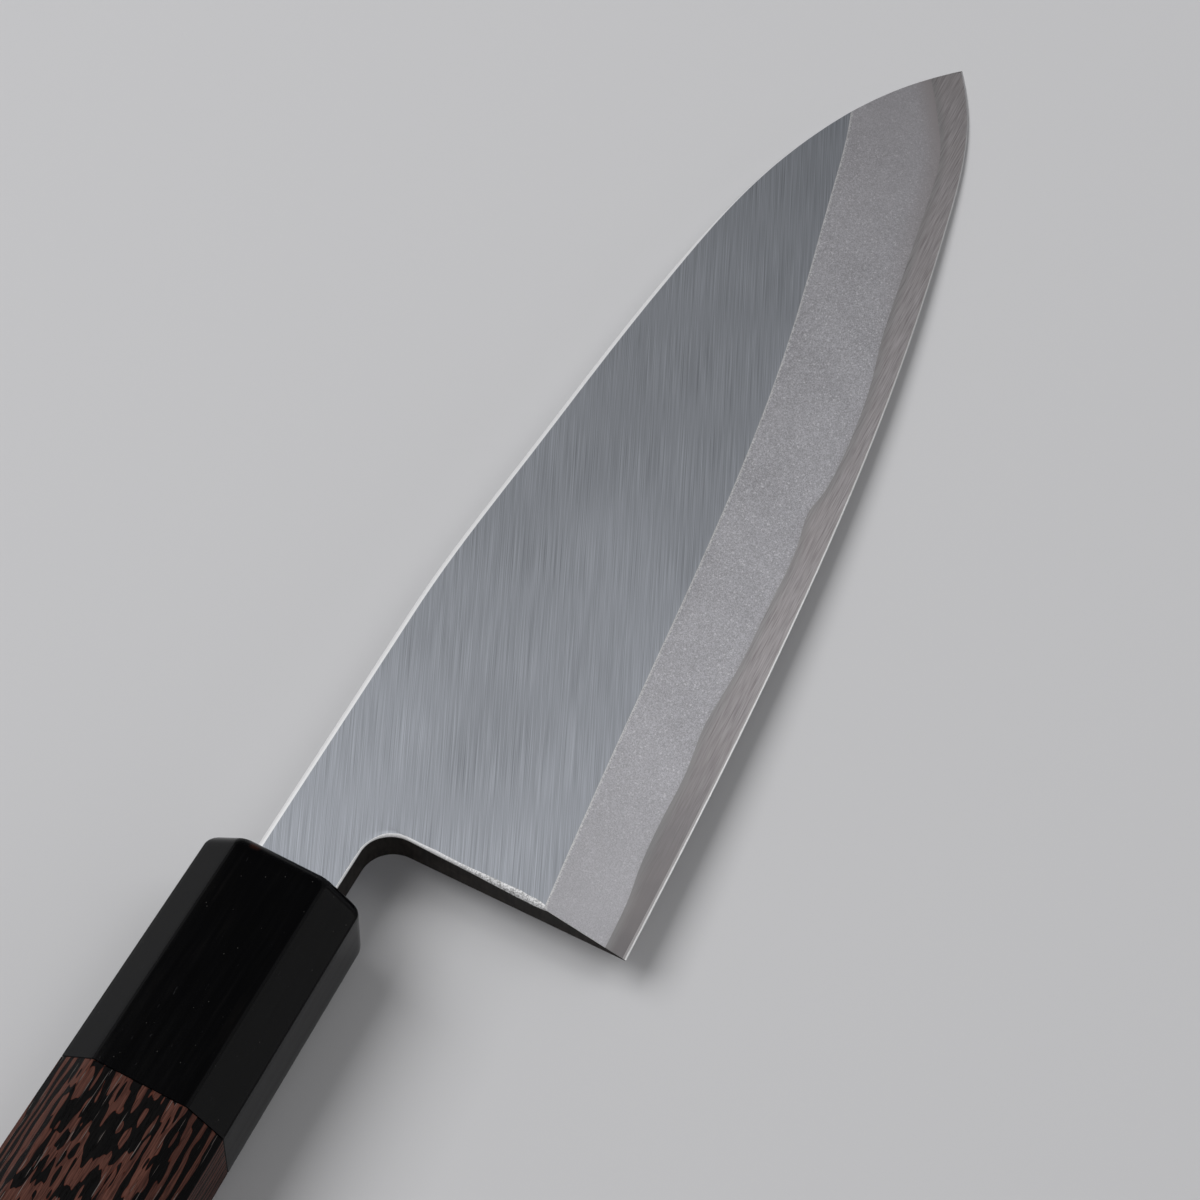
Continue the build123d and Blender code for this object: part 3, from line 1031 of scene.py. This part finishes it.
def flat_steel():
    """Flat face of soft steel, ground one way: hair-fine scratches, a few broader ones and a
    faint cloudiness."""
    hair, scratch, cloud = (16.0, 0.065), (9.0, 0.17), (30.0, 16.0, 30.0)
    groove, crest = metal(0.25, 0.264, 0.29), metal(0.62, 0.65, 0.712)
    finish = Finish("brushed_soft_steel", Metallic=1.0, Anisotropic=0.65)
    hairs, scratches, clouds = finish.hairs(hair, 1), finish.hairs(scratch, 1), finish.clouds(cloud)
    marks = hairs.stretch(0.25, 0.75, 0, 0.7) + scratches.stretch(0.25, 0.75, 0, 0.3)
    finish.colour(marks + clouds.even(-0.02, 0.06), groove, crest)
    return finish.done(hairs, clouds.stretch(0, 1, 0.38, 0.44))


def stoned_steel():
    """Bevel of soft steel off a stone: an even grey haze with a fine sparkling grain. It is
    brighter on the ridge, a little darker where the hard steel begins, painted darker at the heel
    as painted shade, and painted darker and warmer towards the tip, painted shade with a warmer
    tone, where it runs softly into the hard steel."""
    grain, speck, cloud, speck_turn = (0.115,) * 3, (0.2,) * 3, (9.0,) * 3, (1, 1, 0)
    ridge_waver, ridge_band, line_band, soft_band = 0.12, (-0.32, -0.1), (0.0, 0.8), (0.0, 3.4)
    shade, haze, spark = metal(0.33, 0.327, 0.348), metal(0.77, 0.762, 0.805), metal(0.98, 0.97, 1.0)
    tip_shade_warm, heel_darker, ridge_pale = metal(0.452, 0.434, 0.456), metal(0.42, 0.415, 0.43), metal(0.9, 0.9, 0.89)
    dark, soft = metal(0.3, 0.28, 0.28), metal(0.42, 0.385, 0.39)
    finish = Finish("stoned_soft_steel", Metallic=1.0)
    grains, clouds = finish.grit(finish.place(grain)), finish.clouds(cloud, 3)
    specks = finish.grit(finish.place(speck, rotation=speck_turn)).stretch(0.93, 0.97)
    finish.colour(grains.stretch(0, 1, 0.1, 0.76) + clouds.even(0, 0.14), shade, haze)
    finish.lay(specks * 0.4, spark)
    along_knife = finish.knife_axis(0)
    towards_tip = along_knife.fade(tip_shade_from, blade_length)
    # Painted shade with a warmer tone: the bevel darker and warmer towards the tip.
    finish.lay(towards_tip * 0.6, tip_shade_warm)
    # Painted shade: the bevel darker towards the heel.
    finish.lay(along_knife.fade(0, heel_shade_to, 0.4, 0), heel_darker)
    from_ridge = grains.even(-ridge_waver, ridge_waver) + finish.distance("lines", 0)
    finish.lay(from_ridge.stretch(*ridge_band, 0, 0.6), ridge_pale)
    from_line = finish.distance("lines", 1)
    finish.lay(from_line.fade(*line_band, 0.12, 0), dark)
    finish.lay(from_line.fade(*soft_band, 0.8, 0) * towards_tip, soft)
    return finish.done(grains, grains.stretch(0, 1, 0.44, 0.54))


def hard_steel():
    """Strip of hard steel along the edge: stoned lengthwise, darker, a little warmer, duller
    towards the heel, with a soft band along its upper border."""
    hair, streak, cloud = (4.0, 0.09), (4.5, 0.18), (7.0,) * 3
    heel_haze, line_waver, border_band = (-4.0, 54.0), 0.3, (-1.3, -0.2)
    groove, crest, heel_darker = metal(0.26, 0.237, 0.242), metal(0.605, 0.576, 0.592), metal(0.2, 0.19, 0.195)
    border, warm = metal(0.33, 0.335, 0.335), metal(0.45, 0.41, 0.4)
    finish = Finish("stoned_hard_steel", Metallic=1.0, Anisotropic=0.4)
    hairs, streaks, clouds = finish.hairs(hair, 2, 0.6), finish.hairs(streak), finish.clouds(cloud)
    finish.colour(hairs.even(0, 0.5) + streaks.stretch(0.3, 0.6, 0, 0.5), groove, crest)
    finish.lay(finish.distance("brush", 0).fade(*heel_haze, 1, 0), heel_darker)
    from_line = finish.distance("lines", 1) + streaks.even(-line_waver, line_waver)
    finish.lay(from_line.fade(*border_band, 0, 0.45), border)
    finish.lay(clouds.stretch(0.4, 0.7, 0, 0.15), warm)
    return finish.done(hairs, streaks.stretch(0, 1, 0.4, 0.55))


def honed_steel():
    """The very edge, honed bright, with faint nicks of the stone."""
    hair, nick, honed_band = (1.4, 0.05), 0.04, (0.15, 0.25)
    stoned, honed, polished = metal(0.44, 0.42, 0.425), metal(0.86, 0.86, 0.87), metal(1.0, 1.0, 1.0)
    finish = Finish("honed_edge", Metallic=1.0)
    hairs = finish.hairs(hair)
    from_edge = finish.distance("lines", 0) + hairs.even(-nick, nick)
    finish.colour(from_edge.stretch(*honed_band, 1, 0), stoned, finish.mix(hairs, honed, polished))
    return finish.done(hairs, hairs.stretch(0, 1, 0.25, 0.4))


def broken_edge_with_painted_highlight(name, darkest):
    """Broken edge, filed bright and painted paler as a highlight: glittering grain, from the
    darkest share of reflected light up to nearly all of it, half of it a plain pale colour. It is
    coarse on the heel and grows evenly pale towards the neck, a painted highlight there."""
    grain, chip = (0.26,) * 3, (0.8,) * 3
    dark, filed_and_highlight_white = metal(darkest, darkest, darkest), metal(0.99, 0.99, 1.0)
    finish = Finish(name, Metallic=0.5)
    grains, chips = finish.clouds(grain, 2, 0.6), finish.clouds(chip)
    glitter_and_highlight = grains.stretch(0.36, 0.56, 0, 0.7) + chips.stretch(0.35, 0.55, 0, 0.3)
    # Painted highlight: above one height the rim is held nearly all pale.
    glitter_and_highlight = glitter_and_highlight.math("MAXIMUM", finish.knife_axis(1).fade(coarse_below, even_above, 0, 0.8))
    finish.colour(glitter_and_highlight, dark, filed_and_highlight_white)
    return finish.done(glitter_and_highlight, grains.stretch(0, 1, 0.45, 0.65))


def forged_and_shaded_wall():
    """Walls of heel and notch: brownish forge scale with file marks, painted dark, nearly black, as painted
    shade.
    """
    mark, patch = (0.5, 3.0), (2.2,) * 3
    soot_and_shade_black, scale, bare = metal(0.006, 0.005, 0.004), metal(0.024, 0.019, 0.016), metal(0.07, 0.06, 0.053)
    finish = Finish("forged_and_shaded_wall", Specular_IOR_Level=0.1)
    marks, patches = finish.hairs(mark, 3), finish.clouds(patch, 3)
    # Painted shade: the wall's colour is held near black for the shade it lies in.
    finish.colour(marks.even(), soot_and_shade_black, scale)
    finish.lay(patches.stretch(0.55, 0.8, 0, 0.5), bare)
    return finish.done(marks, patches.stretch(0, 1, 0.45, 0.7))


def spine_steel():
    """Spine and side, ground lengthwise and left a little brighter than the face."""
    hair, cloud = (6.0, 0.12), (12.0,) * 3
    groove, crest = metal(0.44, 0.44, 0.45), metal(0.68, 0.68, 0.69)
    finish = Finish("spine_steel", Metallic=1.0, Anisotropic=0.4)
    hairs, clouds = finish.hairs(hair, 3), finish.clouds(cloud)
    finish.colour(hairs.even(0, 0.7) + clouds.even(0, 0.3), groove, crest)
    return finish.done(hairs, clouds.stretch(0, 1, 0.35, 0.5))


def hollow_back():
    """Back of the hard steel: a ground hollow with lengthwise marks, inside flat rims that are
    polished by the stone."""
    hair, streak, cloud, hollow_band = (8.0, 0.14), (30.0, 1.1), (16.0,) * 3, (0.0, 0.012)
    groove, crest = metal(0.4, 0.405, 0.42), metal(0.6, 0.605, 0.62)
    rim_groove, rim_crest = metal(0.62, 0.615, 0.61), metal(0.8, 0.79, 0.78)
    finish = Finish("hollow_back", Metallic=1.0, Anisotropic=0.35)
    hairs, streaks, clouds = finish.hairs(hair, 3), finish.hairs(streak), finish.clouds(cloud)
    marks = hairs.even(0, 0.6) + streaks.even(0, 0.4)
    ground, polished = finish.mix(marks, groove, crest), finish.mix(marks, rim_groove, rim_crest)
    inside = finish.distance("lines", 0).fade(*hollow_band)
    finish.colour(inside, polished, ground)
    return finish.done(hairs, clouds.even(0, 0.1) + inside.stretch(0, 1, 0.28, 0.4))


def black_horn():
    """Polished black buffalo horn: almost black, with faint lengthwise fibres, tiny pale specks,
    small scratches, one small brown spot at the top of the mouth, and ridges worn duller and a
    little paler, partly wear and partly painted highlight."""
    fibre, patch, speck, scratch = (22.0, 0.9, 0.9), (9.0, 3.0, 3.0), (1.6, 1.2, 1.2), (1.5, 0.4, 0.3)
    spot_waver, spot_size, spot_share, ridge_wear_and_highlight_band, dull_band = 0.5, (0.4, 1.3), 0.6, (0.0, 0.5), (0.0, 0.15)
    black, streaked, speckled, brown = tone(2, 2, 3), tone(11, 9, 8), tone(110, 108, 104), tone(62, 30, 18)
    scratched, ridge_pale = tone(58, 58, 60), tone(22, 22, 23)
    finish = Finish("black_horn", IOR=1.3, Specular_IOR_Level=0.22)
    fibres, patches = finish.clouds(fibre, 4, 0.6), finish.clouds(patch)
    finish.colour(fibres.stretch(0.5, 0.75) * patches.stretch(0.45, 0.7), black, streaked)
    finish.lay(finish.cells(finish.place(speck)).stretch(0.035, 0.06, 0.35, 0), speckled)
    spot = (mouth_x - ferrule_round / 3, front_width / 2 * broad_flat_share * spot_share, front_thickness / 2)
    from_spot = finish.node("VectorMath", {0: finish.knife_place(), 1: spot}, "Value", operation="DISTANCE")
    from_spot = from_spot + patches.even(-spot_waver, spot_waver)
    finish.lay(from_spot.fade(*spot_size, 0.6, 0), brown)
    scratches = finish.fibres(scratch, 1).stretch(0.76, 0.8, 0, 0.25)
    finish.lay(scratches, scratched)
    from_ridge = finish.distance("lines", 1)
    # Partly wear, partly painted highlight: the ridges a little paler.
    finish.lay(from_ridge.fade(*ridge_wear_and_highlight_band, 0.12, 0), ridge_pale)
    rough = fibres.even(0, 0.5) + (scratches + from_ridge.fade(*dull_band, 1.2, 0))
    return finish.done(fibres, rough.stretch(0, 2, 0.12, 0.55))


def striped_wood():
    """Wenge: dark and brown layers, nearly level with the broad flats and wavy along the grain,
    each brown one reddish along its border. A flat that cuts them shallowly shows flames with
    spiky ends; one that cuts them steeply shows straight lines. Open pores run lengthwise, with
    painted glints: pale streaks that stand for light off them."""
    layer, wave, fray, season = 1.3, (13.0, 5.0, 9.0), (6.0, 1.05, 2.0), (160.0, 60.0, 2.4)
    pore, fibre, glint = (2.6, 0.12, 0.12), (9.0, 0.2, 0.2), (7.0, 0.22, 0.22)
    wave_rise, fray_rise, season_rise, pore_share, fibre_share = 0.95, 0.55, 0.5, -1, 0.3
    brown, pale_brown, red_brown = tone(64, 38, 33), tone(104, 67, 57), tone(86, 38, 24)
    black, dark, hollow, glinting = tone(1, 1, 2), tone(9, 7, 7), tone(10, 8, 8), tone(120, 112, 108)
    half_thick = front_thickness / 2
    finish = Finish("striped_wood", Specular_IOR_Level=0.07)
    waves, frays, seasons = finish.fibres(wave), finish.fibres(fray, 1, 0.6), finish.fibres(season, 1)
    depth = finish.knife_axis(2, layer)
    steep = half_thick * (1 + narrow_flat_share) / 2 / layer
    calm = depth.math("ABSOLUTE").stretch(steep, half_thick / layer, 0.3, 1)
    uneven = waves.stretch(0.2, 0.8, -wave_rise, wave_rise) + frays.stretch(0.2, 0.8, -fray_rise, fray_rise)
    level = depth + uneven * calm + seasons.stretch(0.25, 0.75, -season_rise, season_rise)
    layers = (level * (2 * pi)).math("SINE")
    fibres = finish.fibres(fibre)
    browns = finish.mix(fibres.even(), brown, pale_brown)
    browns = finish.mix(layers.fade(0.08, 0.34, 0.7, 0), browns, red_brown)
    finish.colour(layers.stretch(0.04, 0.12), finish.mix(fibres.even(), black, dark), browns)
    pores = finish.fibres(pore, 1).stretch(0.6, 0.68)
    finish.lay(pores * 0.4, hollow)
    # Painted highlight: pale streaks along the grain that stand for glints of light off the pores.
    finish.lay(finish.fibres(glint, 1).stretch(0.7, 0.73, 0, 0.85), glinting)
    return finish.done(pores * pore_share + fibres * fibre_share, fibres.stretch(0, 1, 0.36, 0.55))


def dowel_wood():
    """Plain pale hardwood of the pin inside the handle."""
    grain, dark, pale = (14.0, 0.6, 0.6), tone(150, 116, 78), tone(196, 164, 120)
    finish = Finish("dowel_wood")
    grains = finish.clouds(grain, 3)
    finish.colour(grains, dark, pale)
    return finish.done(grains, grains.stretch(0, 1, 0.5, 0.7))


def bedding_resin():
    """Dark filler round the neck, matt and a little pitted."""
    pit, patch, dark, pale = (0.35,) * 3, (2.5,) * 3, tone(14, 13, 12), tone(34, 31, 28)
    finish = Finish("bedding_resin", Specular_IOR_Level=0.3)
    pits = finish.clouds(pit)
    finish.colour(finish.clouds(patch), dark, pale)
    return finish.done(pits, pits.stretch(0, 1, 0.55, 0.75))


def show(piece, slot, *nodes):
    """A piece rides on the knife's only body and stands for its solid."""
    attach(piece, "root")
    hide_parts(*nodes)


def dress(node, material):
    """A finish on a solid that is shown as it is."""
    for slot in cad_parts[node].material_slots:
        slot.material = material


blade_crease = radians(9)
handle_crease = radians(14)
wall, spine_side = forged_and_shaded_wall(), spine_steel()
# Both broken edges are partly filed bright and partly painted highlight.
filed_and_highlight, softened_and_highlight = broken_edge_with_painted_highlight("filed_rim_and_highlight", 0.3), broken_edge_with_painted_highlight("eased_spine_and_highlight", 0.85)
cladding_finishes = [stoned_steel(), flat_steel(), filed_and_highlight, softened_and_highlight, wall, spine_side, wall]
steel_finishes = [hard_steel(), honed_steel(), wall, hollow_back(), spine_side, wall]
cladding = cladding_piece(cladding_finishes).weld("soft_steel_blade", cladding_finishes, blade_crease)
show(cladding, "soft_steel", "blade_cladding")
steel = steel_piece(steel_finishes).weld("hard_steel_back", steel_finishes, blade_crease)
show(steel, "hard_steel", "edge_steel")
show(ferrule_piece().weld("horn_ferrule", [black_horn()], handle_crease), "horn", "ferrule")
show(body_piece().weld("wooden_body", [striped_wood()], handle_crease), "handle_wood", "handle_body")
dress("handle_dowel", dowel_wood())
dress("tang_bedding", bedding_resin())


# Floor, light and camera, in metres

floor_flat_radius = 1.4
floor_radius = 3.4
floor_rise = 1.6
floor_steps = 48
floor_turns = 96
floor_tone = (224, 224, 226)
# Each lamp's azimuth and elevation in degrees, distance, width, height and power
lamps = {
    "key": (97, 55, 1.6, 1.07, 1.07, 14.6),
    "fill": (-46, 55, 1.6, 0.74, 0.74, 2.9),
    "side": (-62, 17, 1.5, 0.9, 0.6, 1.4),
}
world_light = 0.18
camera_eye = Vector((-0.22621, -0.15095, 0.62379))
camera_target = Vector((0.04171, -0.0005, 0.00761))
camera_roll = radians(-0.952)
# Lens and picture width, in millimetres
lens_length = 150.0
picture_width = 36.0


def floor_piece():
    """Pale bowl: level out to one radius, then rising as the square of the share of the rest."""
    radius = np.linspace(0, floor_radius, floor_steps)[:, None]
    turn = np.linspace(0, 2 * pi, floor_turns + 1)
    share = np.clip((radius - floor_flat_radius) / (floor_radius - floor_flat_radius), 0, 1)
    height = np.broadcast_to(floor_rise * share**2, (floor_steps, floor_turns + 1))
    points = np.stack([radius * np.cos(turn), radius * np.sin(turn), height], -1).reshape(-1, 3)
    mesh = bpy.data.meshes.new("floor")
    mesh.from_pydata(points.tolist(), [], grid_faces(floor_steps, floor_turns + 1).tolist())
    shade_smooth(mesh)
    finish = Finish("pale_floor", Base_Color=tone(*floor_tone), Roughness=0.9, Specular_IOR_Level=0.1)
    mesh.materials.append(finish.material)
    floor = in_scene("floor", mesh)


def softbox(name, azimuth, elevation, distance, width, height, power):
    """A rectangular lamp that faces the knife from the given direction."""
    azimuth, elevation = radians(azimuth), radians(elevation)
    direction = Vector((cos(azimuth) * cos(elevation), sin(azimuth) * cos(elevation), sin(elevation)))
    lamp = bpy.data.lights.new(name, "AREA")
    lamp.shape = "RECTANGLE"
    lamp.size, lamp.size_y, lamp.energy = width, height, power
    holder = in_scene(name, lamp)
    holder.location = direction * distance
    holder.rotation_euler = direction.to_track_quat("Z", "Y").to_euler()
    holder.visible_camera = False


def plain_world():
    """Faint white light from all round."""
    world = bpy.data.worlds.new("studio")
    world.use_nodes = True
    background = world.node_tree.nodes["Background"]
    background.inputs["Color"].default_value = (1, 1, 1, 1)
    background.inputs["Strength"].default_value = world_light
    bpy.context.scene.world = world


def photographing_camera():
    """Camera at the photograph's angle, a little rolled."""
    forward = (camera_target - camera_eye).normalized()
    level = forward.cross(Vector((0, 0, 1))).normalized()
    upright = level.cross(forward)
    right = level * cos(camera_roll) + upright * sin(camera_roll)
    up = upright * cos(camera_roll) - level * sin(camera_roll)
    lens = bpy.data.cameras.new("photograph")
    lens.lens, lens.sensor_width = lens_length, picture_width
    camera = in_scene("photograph", lens)
    camera.matrix_world = Matrix.Translation(camera_eye) @ Matrix((right, up, -forward)).transposed().to_4x4()
    bpy.context.scene.camera = camera


floor_piece()
for name, lamp in lamps.items():
    softbox(name, *lamp)
plain_world()
photographing_camera()
bpy.context.scene.view_settings.view_transform = "Standard"
